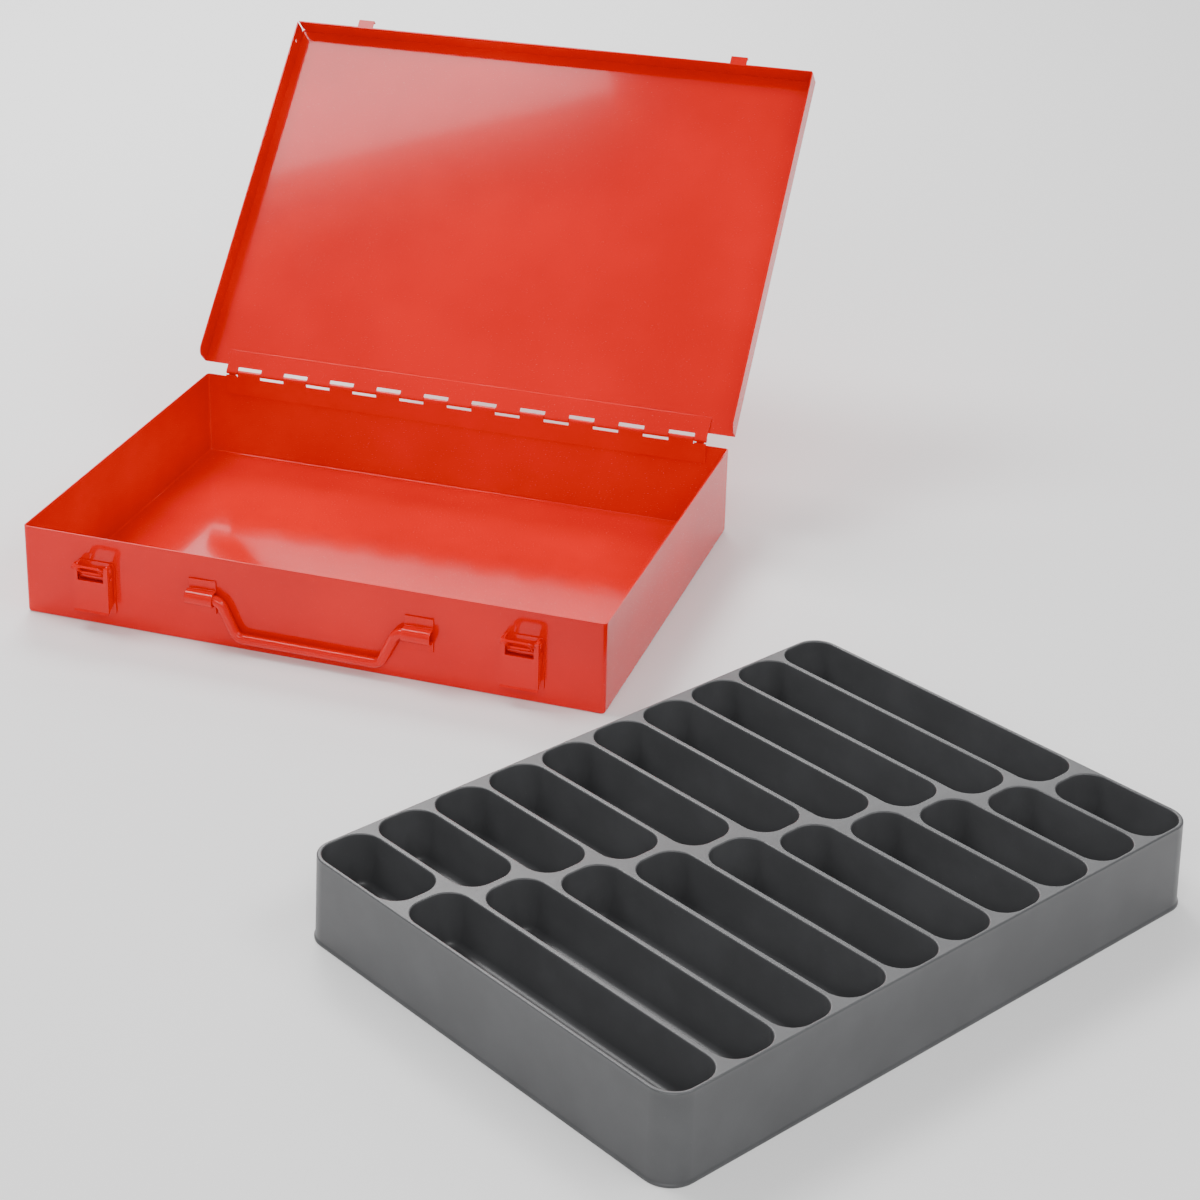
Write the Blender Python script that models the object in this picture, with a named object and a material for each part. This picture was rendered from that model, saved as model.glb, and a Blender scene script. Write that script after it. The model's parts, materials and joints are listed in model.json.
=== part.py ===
"""Sheet-steel assortment case, open, with its lift-out compartment tray lying beside it.

The case stands on its underside at z = 0, centred on the origin. Its length runs along X, its front faces -Y,
and its lid leans back on a piano hinge along the top of the back wall. All sizes are metres.
"""
import math

import bmesh
import bpy
from mathutils import Matrix, Vector, geometry

# Case
CASE_LENGTH = 0.435
CASE_WIDTH = 0.312
CASE_HEIGHT = 0.068
SHEET = 0.001
PLAN_CORNER = 0.003
BEND_RADIUS = 0.002
FIT_GAP = 0.0003            # between pieces that touch

# Lid: a shallow pan with no wall along the hinge
LID_SIDE_GAP = 0.0026       # between the case's end walls and the lid's side flanges
LID_FRONT_GAP = 0.0006
LID_DEPTH = 0.0175
LID_BEND = 0.0012
LID_OPEN = math.radians(133.8)
FLANGE_END_RADIUS = 0.007
RELIEF_HOLE_RADIUS = 0.0018
RELIEF_SLIT = 0.0009
RELIEF_DROP = 0.0036        # relief hole below the panel
HANGING_HOLE_RADIUS = 0.0016
HANGING_HOLE_INSET = 0.0153
HANGING_HOLE_DROP = 0.0105

# Strike tabs, bent out of the lid's front flange
TAB_WIDTH = 0.0134
TAB_REACH = 0.0065
TAB_LIP = 0.0025

# Piano hinge
HINGE_RISE = 0.004          # pin above the rim of the case
HINGE_LENGTH = 0.400
KNUCKLE_PITCH = 0.020
KNUCKLE_RADIUS = 0.0019
KNUCKLE_GAP = 0.0003
PIN_RADIUS = 0.0008
LEAF = 0.0008
LEAF_WIDTH = 0.0185         # from the pin to the far edge of a leaf
LEAF_WINDOW = 0.0023        # cut-out in the lid's leaf past each of the case's knuckles
LEAF_NOTCH = 0.0016         # cut-out in the case's leaf past each of the lid's knuckles
CURL_STEP = 0.00005         # a rolled knuckle is this much thinner on each side than its strap
CURL_SWEEP = math.radians(292)
LID_EDGE_OFFSET = 0.0061    # from the pin to the lid's hinge edge
HEEL_DROP = 0.0029          # stop heel on the end knuckles, below the pin when the lid is open
HEEL_WIDTH = 0.0012
STOP_RISE = 0.0023          # top of the leaf's upstanding ends, below the pin

# Draw latches on the front
LATCH_SPACING = 0.320
LATCH_PLATE_WIDTH = 0.030
LATCH_PLATE_LOW = 0.010
LATCH_SHEET = 0.001
LEVER_PIVOT_OUT = 0.0055
LEVER_PIVOT_RISE = 0.047
EAR_RADIUS = 0.003
EAR_HALF_SPAN = 0.0121      # outer faces of the ears
LEVER_WIDTH = 0.027
LEVER_OUT = 0.010           # front face of the lever
LEVER_LOW = 0.014
LEVER_SLOT_LOW = 0.038
LEVER_SLOT_WIDTH = 0.0204
LEVER_KICK = 0.0012
CLAW_PIVOT_IN = 0.001       # claw pin behind the lever's pivot
CLAW_PIVOT_DROP = 0.007     # claw pin below the lever's pivot
CLAW_SHEET = 0.0012
CLAW_ARM_WIDTH = 0.019
CLAW_HEAD_WIDTH = 0.0242
CLAW_SHOULDER = 0.0118
CLAW_EYE_RADIUS = 0.0022
CLAW_WINDOW_WIDTH = 0.015
CLAW_WINDOW_LOW = 0.005
CLAW_BAR = 0.0024
CLAW_BAR_CLEARANCE = 0.0004
CLAW_HEAD_RADIUS = 0.005
CLAW_TIP = math.radians(45)
RIVET_RADIUS = 0.0012
HOLE_CLEARANCE = 0.0003
WALL_RIVET_RADIUS = 0.0015
WALL_RIVET_LEVELS = (0.018, 0.030)

# Bail handle and its saddle brackets
HANDLE_SHIFT = 0.004
HANDLE_WIRE = 0.0074
HANDLE_PIVOT_RISE = 0.0375
HANDLE_WALL_GAP = 0.001
HANDLE_DROP = 0.0262
GRIP_LENGTH = 0.107         # between the centre lines of the lower bends
HANDLE_SPAN = 0.132         # between the centre lines of the upper bends
HANDLE_STUB = 0.020
HANDLE_BEND = 0.008
BRACKET_WIDTH = 0.021
BRACKET_HEIGHT = 0.025
BRACKET_SHEET = 0.0012
BRACKET_BORE_GAP = 0.0004
BRACKET_END_GAP = 0.0045    # between a bracket and the bend beside it

# Compartment tray
TRAY_CLEARANCE = 0.002      # to the walls of the case, at the tray's foot
TRAY_HEIGHT = 0.056
TRAY_DRAFT = 0.001          # the foot is this much wider than the deck on each side
TRAY_WALL = 0.0012
TRAY_CORNER = 0.0165
TRAY_RIM = 0.0026
TRAY_COLUMNS = 10
RIDGE = 0.0036
DIVIDER = 0.006
SHORTEST_POCKET = 0.0744
POCKET_DEPTH = 0.035
POCKET_CORNER = 0.0148
POCKET_FLOOR_CORNER = 0.004
POCKET_DRAFT = 0.0016
TRAY_LIP = 0.0008
TRAY_LIP_HEIGHT = 0.0016
TRAY_PLACE = (0.370, -0.358)
TRAY_TURN = math.radians(60)

RED = (0.80, 0.012, 0.008, 1)
ANTHRACITE = (0.065, 0.068, 0.070, 1)

# Places worked out from the sizes above
FRONT = -CASE_WIDTH / 2
BACK = CASE_WIDTH / 2
PIN_Y = BACK - SHEET - FIT_GAP - LEAF + KNUCKLE_RADIUS
PIN_Z = CASE_HEIGHT + HINGE_RISE
LID_TOP = PIN_Z - KNUCKLE_RADIUS + LEAF + FIT_GAP + SHEET
LID_RIM = LID_TOP - LID_DEPTH
LID_FRONT = FRONT - LID_FRONT_GAP - SHEET
LID_HALF = CASE_LENGTH / 2 + LID_SIDE_GAP + SHEET
CLAW_PIVOT = (FRONT - LEVER_PIVOT_OUT + CLAW_PIVOT_IN, LEVER_PIVOT_RISE - CLAW_PIVOT_DROP)
CLAW_BAR_LOW = LID_RIM + SHEET + CLAW_BAR_CLEARANCE - CLAW_PIVOT[1]
CLAW_TOP = CLAW_BAR_LOW + CLAW_BAR
HANDLE_PIVOT_OUT = HANDLE_WALL_GAP + HANDLE_WIRE / 2


def clear_scene():
    for thing in list(bpy.data.objects):
        bpy.data.objects.remove(thing, do_unlink=True)


def make_material(name, colour, roughness, metallic=0.0):
    material = bpy.data.materials.new(name)
    material.use_nodes = True
    shader = material.node_tree.nodes["Principled BSDF"]
    shader.inputs["Base Color"].default_value = colour
    shader.inputs["Roughness"].default_value = roughness
    shader.inputs["Metallic"].default_value = metallic
    material.diffuse_color = colour
    return material


def add_object(name, bm, colour, roughness=0.3, parent=None):
    """Turns the mesh into a named object with a material of its own."""
    bmesh.ops.recalc_face_normals(bm, faces=bm.faces)
    mesh = bpy.data.meshes.new(name)
    bm.to_mesh(mesh)
    bm.free()
    mesh.shade_smooth()
    mesh.set_sharp_from_angle(angle=math.radians(35))
    thing = bpy.data.objects.new(name, mesh)
    mesh.materials.append(make_material(name + "_finish", colour, roughness))
    bpy.context.scene.collection.objects.link(thing)
    thing.parent = parent
    return thing


def add_pivot(name, place, turn_x=0.0, turn_z=0.0, parent=None):
    """An empty on a joint's axis, which carries the pieces of one moving body."""
    pivot = bpy.data.objects.new(name, None)
    bpy.context.scene.collection.objects.link(pivot)
    pivot.location = place
    pivot.rotation_euler = (turn_x, 0.0, turn_z)
    pivot.parent = parent
    return pivot


def shape_with(target, name, bm, operation):
    """Joins the mesh to the target, or cuts it away. The helper shares the target's place."""
    bmesh.ops.recalc_face_normals(bm, faces=bm.faces)
    mesh = bpy.data.meshes.new(name)
    bm.to_mesh(mesh)
    bm.free()
    helper = bpy.data.objects.new(name, mesh)
    bpy.context.scene.collection.objects.link(helper)
    helper.parent = target.parent
    helper.hide_render = True
    helper.display_type = "WIRE"
    modifier = target.modifiers.new(name, "BOOLEAN")
    modifier.operation = operation
    modifier.solver = "EXACT"
    modifier.object = helper


def arc(centre, radius, start, sweep, steps):
    """Points along an arc, both ends included. Angles are degrees."""
    points = []
    for i in range(steps + 1):
        angle = math.radians(start + sweep * i / steps)
        points.append((centre[0] + radius * math.cos(angle), centre[1] + radius * math.sin(angle)))
    return points


def rounded_box_outline(low, high, radius, steps=4):
    """The outline of an upright rectangle with round corners, counter-clockwise."""
    (x0, y0), (x1, y1) = low, high
    points = arc((x1 - radius, y1 - radius), radius, 0, 90, steps)
    points += arc((x0 + radius, y1 - radius), radius, 90, 90, steps)
    points += arc((x0 + radius, y0 + radius), radius, 180, 90, steps)
    points += arc((x1 - radius, y0 + radius), radius, 270, 90, steps)
    return points


def on_axis(axis, a, b, level):
    """A point from its place across an axis and its level along it: (y, z), (x, z) or (x, y) across X, Y or Z."""
    return {"X": (level, a, b), "Y": (a, level, b), "Z": (a, b, level)}[axis]


def prism(bm, outline, axis, low, high):
    """A closed prism whose outline lies across the axis."""
    ends = []
    for level in (low, high):
        ends.append([bm.verts.new(on_axis(axis, a, b, level)) for a, b in outline])
    bm.faces.new(ends[0])
    bm.faces.new(ends[1])
    count = len(outline)
    for i in range(count):
        j = (i + 1) % count
        bm.faces.new((ends[0][i], ends[0][j], ends[1][j], ends[1][i]))


def box(bm, low, high):
    prism(bm, [(low[0], low[1]), (high[0], low[1]), (high[0], high[1]), (low[0], high[1])], "Z", low[2], high[2])


def turned(bm, profile, axis, centre, segments=12):
    """A solid of revolution from (radius, level) pairs along the axis, closed by flat ends."""
    half_step = math.pi / segments
    rings = []
    for radius, level in profile:
        ring = []
        for i in range(segments):
            angle = 2 * math.pi * i / segments + half_step
            a = centre[0] + radius * math.cos(angle)
            b = centre[1] + radius * math.sin(angle)
            ring.append(bm.verts.new(on_axis(axis, a, b, level)))
        rings.append(ring)
    join_rings(bm, rings)
    bm.faces.new(rings[0])
    bm.faces.new(rings[-1])


def join_rings(bm, rings):
    for lower, upper in zip(rings, rings[1:]):
        count = len(lower)
        for i in range(count):
            j = (i + 1) % count
            bm.faces.new((lower[i], lower[j], upper[j], upper[i]))


def loft(bm, layers):
    """A closed skin through outlines of equal length at rising or falling levels, with flat end faces."""
    rings = [[bm.verts.new((x, y, z)) for x, y in outline] for outline, z in layers]
    join_rings(bm, rings)
    bm.faces.new(rings[0])
    bm.faces.new(rings[-1])


def centred_outline(half_length, half_width, radius, steps):
    return rounded_box_outline((-half_length, -half_width), (half_length, half_width), radius, steps)


# ---------------------------------------------------------------- case and lid

def make_base_pan():
    """The case's folded pan: a floor and four walls of one sheet thickness."""
    half = (CASE_LENGTH / 2, CASE_WIDTH / 2)
    layers = []
    for inset, radius, floor, order in ((0.0, BEND_RADIUS, 0.0, 1), (SHEET, BEND_RADIUS - SHEET, SHEET, -1)):
        bend = []
        for degrees in (0, 45, 90):
            angle = math.radians(degrees)
            pull = inset + radius * (1 - math.sin(angle))
            outline = centred_outline(half[0] - pull, half[1] - pull, PLAN_CORNER - pull, 3)
            bend.append((outline, floor + radius * (1 - math.cos(angle))))
        bend.append((centred_outline(half[0] - inset, half[1] - inset, PLAN_CORNER - inset, 3), CASE_HEIGHT))
        layers += bend[::order]
    bm = bmesh.new()
    loft(bm, layers)
    pan = add_object("base_pan", bm, RED)
    holes = bmesh.new()
    for side in (-1, 1):
        for level in WALL_RIVET_LEVELS:
            radius = WALL_RIVET_RADIUS + HOLE_CLEARANCE
            turned(holes, [(radius, FRONT - SHEET), (radius, FRONT + 2 * SHEET)], "Y",
                   (side * LATCH_SPACING / 2, level))
    shape_with(pan, "base_pan_rivet_holes", holes, "DIFFERENCE")
    return pan


def lid_block():
    """The lid's outer block, with bends along its three folded edges and its front corners."""
    low = (-LID_HALF, LID_FRONT - PIN_Y, LID_RIM - PIN_Z)
    high = (LID_HALF, -LID_EDGE_OFFSET, LID_TOP - PIN_Z)
    bm = bmesh.new()
    box(bm, low, high)

    def folded(edge):
        middle = (edge.verts[0].co + edge.verts[1].co) / 2
        on_top = abs(middle.z - high[2]) < 1e-6 and middle.y < high[1] - 1e-6
        front_corner = abs(middle.y - low[1]) < 1e-6 and low[2] < middle.z - 1e-6 < high[2] - 2e-6
        return on_top or front_corner

    bmesh.ops.bevel(bm, geom=[e for e in bm.edges if folded(e)], offset=LID_BEND, segments=2, affect="EDGES",
                    profile=0.5)
    return bm, low, high


def make_lid_pan(pivot):
    """The lid's panel with its front and side flanges, strike tabs, corner slits and hanging hole."""
    bm, low, high = lid_block()
    pan = add_object("lid_pan", bm, RED, parent=pivot)

    hollow = bmesh.new()
    inner_top = high[2] - SHEET
    box(hollow, (low[0] + SHEET, low[1] + SHEET, low[2] - SHEET), (high[0] - SHEET, high[1] + SHEET, inner_top))
    shape_with(pan, "lid_hollow", hollow, "DIFFERENCE")

    ends = bmesh.new()
    for side in (-1, 1):
        centre = (high[1] - FLANGE_END_RADIUS, low[2] + FLANGE_END_RADIUS)
        outline = arc(centre, FLANGE_END_RADIUS, -90, 90, 5)
        outline += [(high[1] + SHEET, centre[1]), (high[1] + SHEET, low[2] - SHEET), (centre[0], low[2] - SHEET)]
        middle = side * (LID_HALF - SHEET / 2)
        prism(ends, outline, "X", middle - SHEET, middle + SHEET)
    shape_with(pan, "lid_flange_ends", ends, "DIFFERENCE")

    tabs = bmesh.new()
    root = low[1] + 0.6 * SHEET
    tip = low[1] - TAB_REACH
    foot = low[2] + 0.02 * SHEET
    outline = [(root, foot), (tip, foot), (tip, foot + SHEET + TAB_LIP), (tip + SHEET, foot + SHEET + TAB_LIP),
               (tip + SHEET, foot + SHEET), (root, foot + SHEET)]
    for side in (-1, 1):
        middle = side * LATCH_SPACING / 2
        prism(tabs, outline, "X", middle - TAB_WIDTH / 2, middle + TAB_WIDTH / 2)
    shape_with(pan, "lid_tabs", tabs, "UNION")

    relief = bmesh.new()
    for side in (-1, 1):
        corner = Vector((side * (LID_HALF - SHEET / 2), low[1] + SHEET / 2, 0.0))
        turn = Matrix.Rotation(math.radians(45 * side), 4, "Z")
        slit = bmesh.new()
        box(slit, (-RELIEF_SLIT / 2, -4 * SHEET, low[2] - SHEET), (RELIEF_SLIT / 2, 4 * SHEET, high[2] - RELIEF_DROP))
        slit.transform(Matrix.Translation(corner) @ turn)
        append_mesh(relief, slit)
    shape_with(pan, "lid_corner_slits", relief, "DIFFERENCE")

    holes = bmesh.new()
    for side in (-1, 1):
        corner = Vector((side * (LID_HALF - SHEET / 2), low[1] + SHEET / 2, high[2] - RELIEF_DROP))
        turn = Matrix.Rotation(math.radians(45 * side), 4, "Z")
        hole = bmesh.new()
        turned(hole, [(RELIEF_HOLE_RADIUS, -4 * SHEET), (RELIEF_HOLE_RADIUS, 4 * SHEET)], "Y", (0, 0))
        hole.transform(Matrix.Translation(corner) @ turn)
        append_mesh(holes, hole)
    place = (low[1] + HANGING_HOLE_INSET, high[2] - HANGING_HOLE_DROP)
    turned(holes, [(HANGING_HOLE_RADIUS, low[0] - SHEET), (HANGING_HOLE_RADIUS, low[0] + 2 * SHEET)], "X", place)
    shape_with(pan, "lid_holes", holes, "DIFFERENCE")
    return pan


def append_mesh(target, source):
    """Adds the source mesh to the target and frees it."""
    mesh = bpy.data.meshes.new("scratch")
    source.to_mesh(mesh)
    source.free()
    target.from_mesh(mesh)
    bpy.data.meshes.remove(mesh)


# ---------------------------------------------------------------- piano hinge

def knuckle_spans():
    """(start, end) of the case's knuckles and of the lid's, whose first and last are half as long."""
    count = round(HINGE_LENGTH / KNUCKLE_PITCH)
    pitch = HINGE_LENGTH / count
    edges = [-HINGE_LENGTH / 2] + [-HINGE_LENGTH / 2 + pitch * (i + 0.5) for i in range(count)]
    edges.append(HINGE_LENGTH / 2)
    spans = list(zip(edges, edges[1:]))
    return spans[1::2], spans[0::2]


def comb_outline(spans, cut, end_cut):
    """A leaf's outline in (x, distance along the leaf): straps run up to the knuckles, with cut-outs between."""
    half = HINGE_LENGTH / 2
    points = [(-half, -LEAF_WIDTH)]
    if spans[0][0] > -half + 1e-6:
        points.append((-half, -end_cut))
        points.append((spans[0][0] - KNUCKLE_GAP, -end_cut))
        points.append((spans[0][0] - KNUCKLE_GAP, -cut))
    for i, (start, end) in enumerate(spans):
        left = start if start <= -half + 1e-6 else start + KNUCKLE_GAP / 2
        right = end if end >= half - 1e-6 else end - KNUCKLE_GAP / 2
        if start > -half + 1e-6:
            points.append((left, -cut))
        points += [(left, -LEAF / 4), (right, -LEAF / 4)]
        if end < half - 1e-6:
            points.append((right, -cut))
    if spans[-1][1] < half - 1e-6:
        points.append((spans[-1][1] + KNUCKLE_GAP, -cut))
        points.append((spans[-1][1] + KNUCKLE_GAP, -end_cut))
        points.append((half, -end_cut))
    points.append((half, -LEAF_WIDTH))
    return points


def curl_outline():
    """A rolled knuckle in (along the leaf, across it), from a root inside its strap round the pin."""
    outer = KNUCKLE_RADIUS - CURL_STEP
    inner = KNUCKLE_RADIUS - LEAF + CURL_STEP
    sweep = math.degrees(CURL_SWEEP)
    points = [(-LEAF, -inner), (-LEAF, -outer)]
    points += arc((0, 0), outer, -90, sweep, 12)
    points += arc((0, 0), inner, -90 + sweep, -sweep, 12)
    return points


def make_leaf(name, spans, cut, end_cut, across_first, parent, extra=None):
    """One leaf of the hinge. Its strip runs along Y for the lid, or along Z for the case."""
    outline = comb_outline(spans, cut, end_cut)
    if across_first:
        def place(point):
            return (point[0], point[1], point[2])
    else:
        def place(point):
            return (point[0], point[2], point[1])
    strip = bmesh.new()
    prism(strip, outline, "Z", -KNUCKLE_RADIUS, -KNUCKLE_RADIUS + LEAF)
    curls = bmesh.new()
    for start, end in spans:
        prism(curls, curl_outline(), "X", start + KNUCKLE_GAP / 2 + CURL_STEP, end - KNUCKLE_GAP / 2 - CURL_STEP)
    for bm in (strip, curls):
        for vertex in bm.verts:
            vertex.co = place(vertex.co)
    leaf = add_object(name, strip, RED, parent=parent)
    shape_with(leaf, name + "_knuckles", curls, "UNION")
    if extra is not None:
        shape_with(leaf, name + "_heels", extra, "UNION")
    return leaf


def stop_heels(spans):
    """Small heels under the lid's end knuckles, which meet the leaf's upstanding ends when the lid is open."""
    face = -KNUCKLE_RADIUS + LEAF + FIT_GAP
    outline = [(face, -HEEL_DROP), (face + HEEL_WIDTH, -HEEL_DROP), (face + HEEL_WIDTH, -KNUCKLE_RADIUS * 0.85),
               (face, -KNUCKLE_RADIUS * 0.7)]
    sine, cosine = math.sin(LID_OPEN), math.cos(LID_OPEN)
    shut = [(y * cosine - z * sine, y * sine + z * cosine) for y, z in outline]
    bm = bmesh.new()
    for start, end in (spans[0], spans[-1]):
        prism(bm, shut, "X", start + KNUCKLE_PITCH / 10, end - KNUCKLE_PITCH / 10)
    return bm


def make_hinge(pivot):
    case_spans, lid_spans = knuckle_spans()
    case_frame = add_pivot("hinge_line", (0.0, PIN_Y, PIN_Z))
    make_leaf("base_hinge_leaf", case_spans, KNUCKLE_RADIUS + LEAF_NOTCH, STOP_RISE, False, case_frame)
    make_leaf("lid_hinge_leaf", lid_spans, KNUCKLE_RADIUS + LEAF_WINDOW, STOP_RISE, True, pivot,
              stop_heels(lid_spans))
    pin = bmesh.new()
    half = HINGE_LENGTH / 2 - KNUCKLE_GAP
    turned(pin, [(PIN_RADIUS, -half), (PIN_RADIUS, half)], "X", (0, 0))
    add_object("hinge_pin", pin, RED, parent=case_frame)


# ---------------------------------------------------------------- draw latches

def out(distance):
    """Y of a point this far out from the case's front."""
    return FRONT - distance


def make_latch_base(name, x):
    """The riveted plate with its two ears, and the holes for the pivot rivets and wall rivets."""
    half = LATCH_PLATE_WIDTH / 2
    face = FIT_GAP + LATCH_SHEET
    top = LEVER_PIVOT_RISE + EAR_RADIUS
    plate = bmesh.new()
    outline = rounded_box_outline((x - half, LATCH_PLATE_LOW), (x + half, top), 0.003, 2)
    prism(plate, outline, "Y", out(FIT_GAP), out(face))
    base = add_object(name, plate, RED)
    ears = bmesh.new()
    centre = (out(LEVER_PIVOT_OUT), LEVER_PIVOT_RISE)
    ear = arc(centre, EAR_RADIUS, 90, 180, 6)
    ear += [(out(FIT_GAP + LATCH_SHEET / 2), centre[1] - EAR_RADIUS),
            (out(FIT_GAP + LATCH_SHEET / 2), centre[1] + EAR_RADIUS * 0.98)]
    ear[0] = (centre[0], centre[1] + EAR_RADIUS * 0.98)
    for side in (-1, 1):
        outer = x + side * EAR_HALF_SPAN
        inner = x + side * (EAR_HALF_SPAN - LATCH_SHEET)
        prism(ears, ear, "X", min(outer, inner), max(outer, inner))
    shape_with(base, name + "_ears", ears, "UNION")
    holes = bmesh.new()
    radius = RIVET_RADIUS + HOLE_CLEARANCE
    turned(holes, [(radius, x - half), (radius, x + half)], "X", centre)
    shape_with(base, name + "_pivot_hole", holes, "DIFFERENCE")
    wall_holes = bmesh.new()
    radius = WALL_RIVET_RADIUS + HOLE_CLEARANCE
    for level in WALL_RIVET_LEVELS:
        turned(wall_holes, [(radius, out(4 * SHEET)), (radius, out(-SHEET))], "Y", (x, level))
    shape_with(base, name + "_wall_holes", wall_holes, "DIFFERENCE")


def make_wall_rivet(name, x, level):
    """A domed rivet through the latch's plate and the case's wall."""
    shank, head = WALL_RIVET_RADIUS, 0.0028
    under = FIT_GAP + LATCH_SHEET + FIT_GAP
    inside = SHEET + FIT_GAP
    profile = [(1.6 * shank, out(-inside - 0.0006)), (1.6 * shank, out(-inside)), (shank, out(-inside)),
               (shank, out(under)), (head, out(under)), (0.85 * head, out(under + 0.0007)),
               (0.4 * head, out(under + 0.0011))]
    bm = bmesh.new()
    turned(bm, profile, "Y", (x, level))
    add_object(name, bm, RED)


def make_pivot_rivet(name, x, side):
    """A short rivet through one ear of the plate and one flange of the lever."""
    inner = EAR_HALF_SPAN - LATCH_SHEET - FIT_GAP
    outer = LEVER_WIDTH / 2 + FIT_GAP
    profile = [(1.5 * RIVET_RADIUS, inner - 0.0005), (1.5 * RIVET_RADIUS, inner), (RIVET_RADIUS, inner),
               (RIVET_RADIUS, outer), (1.8 * RIVET_RADIUS, outer), (1.5 * RIVET_RADIUS, outer + 0.0006),
               (0.7 * RIVET_RADIUS, outer + 0.0009)]
    bm = bmesh.new()
    turned(bm, [(r, x + side * level) for r, level in profile], "X", (out(LEVER_PIVOT_OUT), LEVER_PIVOT_RISE))
    add_object(name, bm, RED)


def make_lever(name, x, pivot):
    """A channel-shaped lever: a cover plate with a slot for the claw, and two flanges with pivot holes."""
    half = LEVER_WIDTH / 2
    face = -(LEVER_OUT - LEVER_PIVOT_OUT)
    low = LEVER_LOW - LEVER_PIVOT_RISE
    slot = LEVER_SLOT_LOW - LEVER_PIVOT_RISE
    top = EAR_RADIUS
    side_profile = [(face, low + LEVER_KICK), (face - LEVER_KICK, low), (face - LEVER_KICK + LATCH_SHEET, low),
                    (EAR_RADIUS, low + 4 * LEVER_KICK)]
    side_profile += arc((0, 0), EAR_RADIUS, 0, 90, 4)
    side_profile.append((face, top))
    bm = bmesh.new()
    prism(bm, side_profile, "X", -half, half)
    lever = add_object(name, bm, RED, parent=pivot)

    hollow = bmesh.new()
    inner = face + LATCH_SHEET
    edge = half - LATCH_SHEET
    box(hollow, (-edge, inner, slot - 1.0), (edge, 0.1, 0.1))
    for vertex in hollow.verts:
        vertex.co.z = max(vertex.co.z, low - 0.01)
    shape_with(lever, name + "_hollow", hollow, "DIFFERENCE")

    slot_cut = bmesh.new()
    box(slot_cut, (-LEVER_SLOT_WIDTH / 2, face - LATCH_SHEET, slot), (LEVER_SLOT_WIDTH / 2, inner + LATCH_SHEET / 2,
                                                                      top + LATCH_SHEET))
    shape_with(lever, name + "_slot", slot_cut, "DIFFERENCE")

    holes = bmesh.new()
    radius = RIVET_RADIUS + HOLE_CLEARANCE
    for place in ((0.0, 0.0), (CLAW_PIVOT_IN, -CLAW_PIVOT_DROP)):
        turned(holes, [(radius, -half - SHEET), (radius, half + SHEET)], "X", place)
    shape_with(lever, name + "_holes", holes, "DIFFERENCE")


def make_claw_pin(name, pivot):
    half = LEVER_WIDTH / 2 + FIT_GAP
    profile = [(0.7 * RIVET_RADIUS, -half - 0.0008), (1.6 * RIVET_RADIUS, -half - 0.0005),
               (1.6 * RIVET_RADIUS, -half), (RIVET_RADIUS, -half), (RIVET_RADIUS, half),
               (1.6 * RIVET_RADIUS, half), (1.6 * RIVET_RADIUS, half + 0.0005), (0.7 * RIVET_RADIUS, half + 0.0008)]
    bm = bmesh.new()
    turned(bm, profile, "X", (0, 0))
    add_object(name, bm, RED, parent=pivot)


def claw_outline():
    """The claw's plate in (x, height above its pin): a narrow arm, shoulders and a round-cornered head."""
    arm, head = CLAW_ARM_WIDTH / 2, CLAW_HEAD_WIDTH / 2
    right = [(arm, 0.0), (arm, CLAW_SHOULDER), (head, CLAW_SHOULDER)]
    right += arc((head - CLAW_HEAD_RADIUS, CLAW_TOP - CLAW_HEAD_RADIUS), CLAW_HEAD_RADIUS, 0, 90, 4)
    return right + [(-x, z) for x, z in reversed(right)]


def make_claw(name, pivot):
    """The claw: a plate with a window for the lid's tab, rolled into an eye round its pin."""
    half = CLAW_SHEET / 2
    bm = bmesh.new()
    prism(bm, claw_outline(), "Y", -half, half)
    claw = add_object(name, bm, RED, parent=pivot)
    eye = bmesh.new()
    turned(eye, [(CLAW_EYE_RADIUS, -CLAW_ARM_WIDTH / 2 + CURL_STEP), (CLAW_EYE_RADIUS, CLAW_ARM_WIDTH / 2 - CURL_STEP)],
           "X", (0, 0))
    shape_with(claw, name + "_eye", eye, "UNION")
    cuts = bmesh.new()
    radius = RIVET_RADIUS + HOLE_CLEARANCE
    turned(cuts, [(radius, -CLAW_ARM_WIDTH), (radius, CLAW_ARM_WIDTH)], "X", (0, 0))
    shape_with(claw, name + "_bore", cuts, "DIFFERENCE")
    window = bmesh.new()
    outline = rounded_box_outline((-CLAW_WINDOW_WIDTH / 2, CLAW_WINDOW_LOW), (CLAW_WINDOW_WIDTH / 2, CLAW_BAR_LOW),
                                  0.0015, 2)
    prism(window, outline, "Y", -4 * half, 4 * half)
    shape_with(claw, name + "_window", window, "DIFFERENCE")


def make_latch(label, x):
    prefix = "latch_" + label
    make_latch_base(prefix + "_base", x)
    for number, level in enumerate(WALL_RIVET_LEVELS, 1):
        make_wall_rivet(prefix + "_wall_rivet_%d" % number, x, level)
    for name, side in (("_pivot_rivet_1", -1), ("_pivot_rivet_2", 1)):
        make_pivot_rivet(prefix + name, x, side)
    lever_pivot = add_pivot(prefix + "_lever_pivot", (x, out(LEVER_PIVOT_OUT), LEVER_PIVOT_RISE))
    make_lever(prefix + "_lever", x, lever_pivot)
    pin_pivot = add_pivot(prefix + "_pin_pivot", (x, CLAW_PIVOT[0], CLAW_PIVOT[1]))
    make_claw_pin(prefix + "_claw_pin", pin_pivot)
    claw_pivot = add_pivot(prefix + "_claw_pivot", (x, CLAW_PIVOT[0], CLAW_PIVOT[1]), turn_x=CLAW_TIP)
    make_claw(prefix + "_claw", claw_pivot)


# ---------------------------------------------------------------- handle

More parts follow.
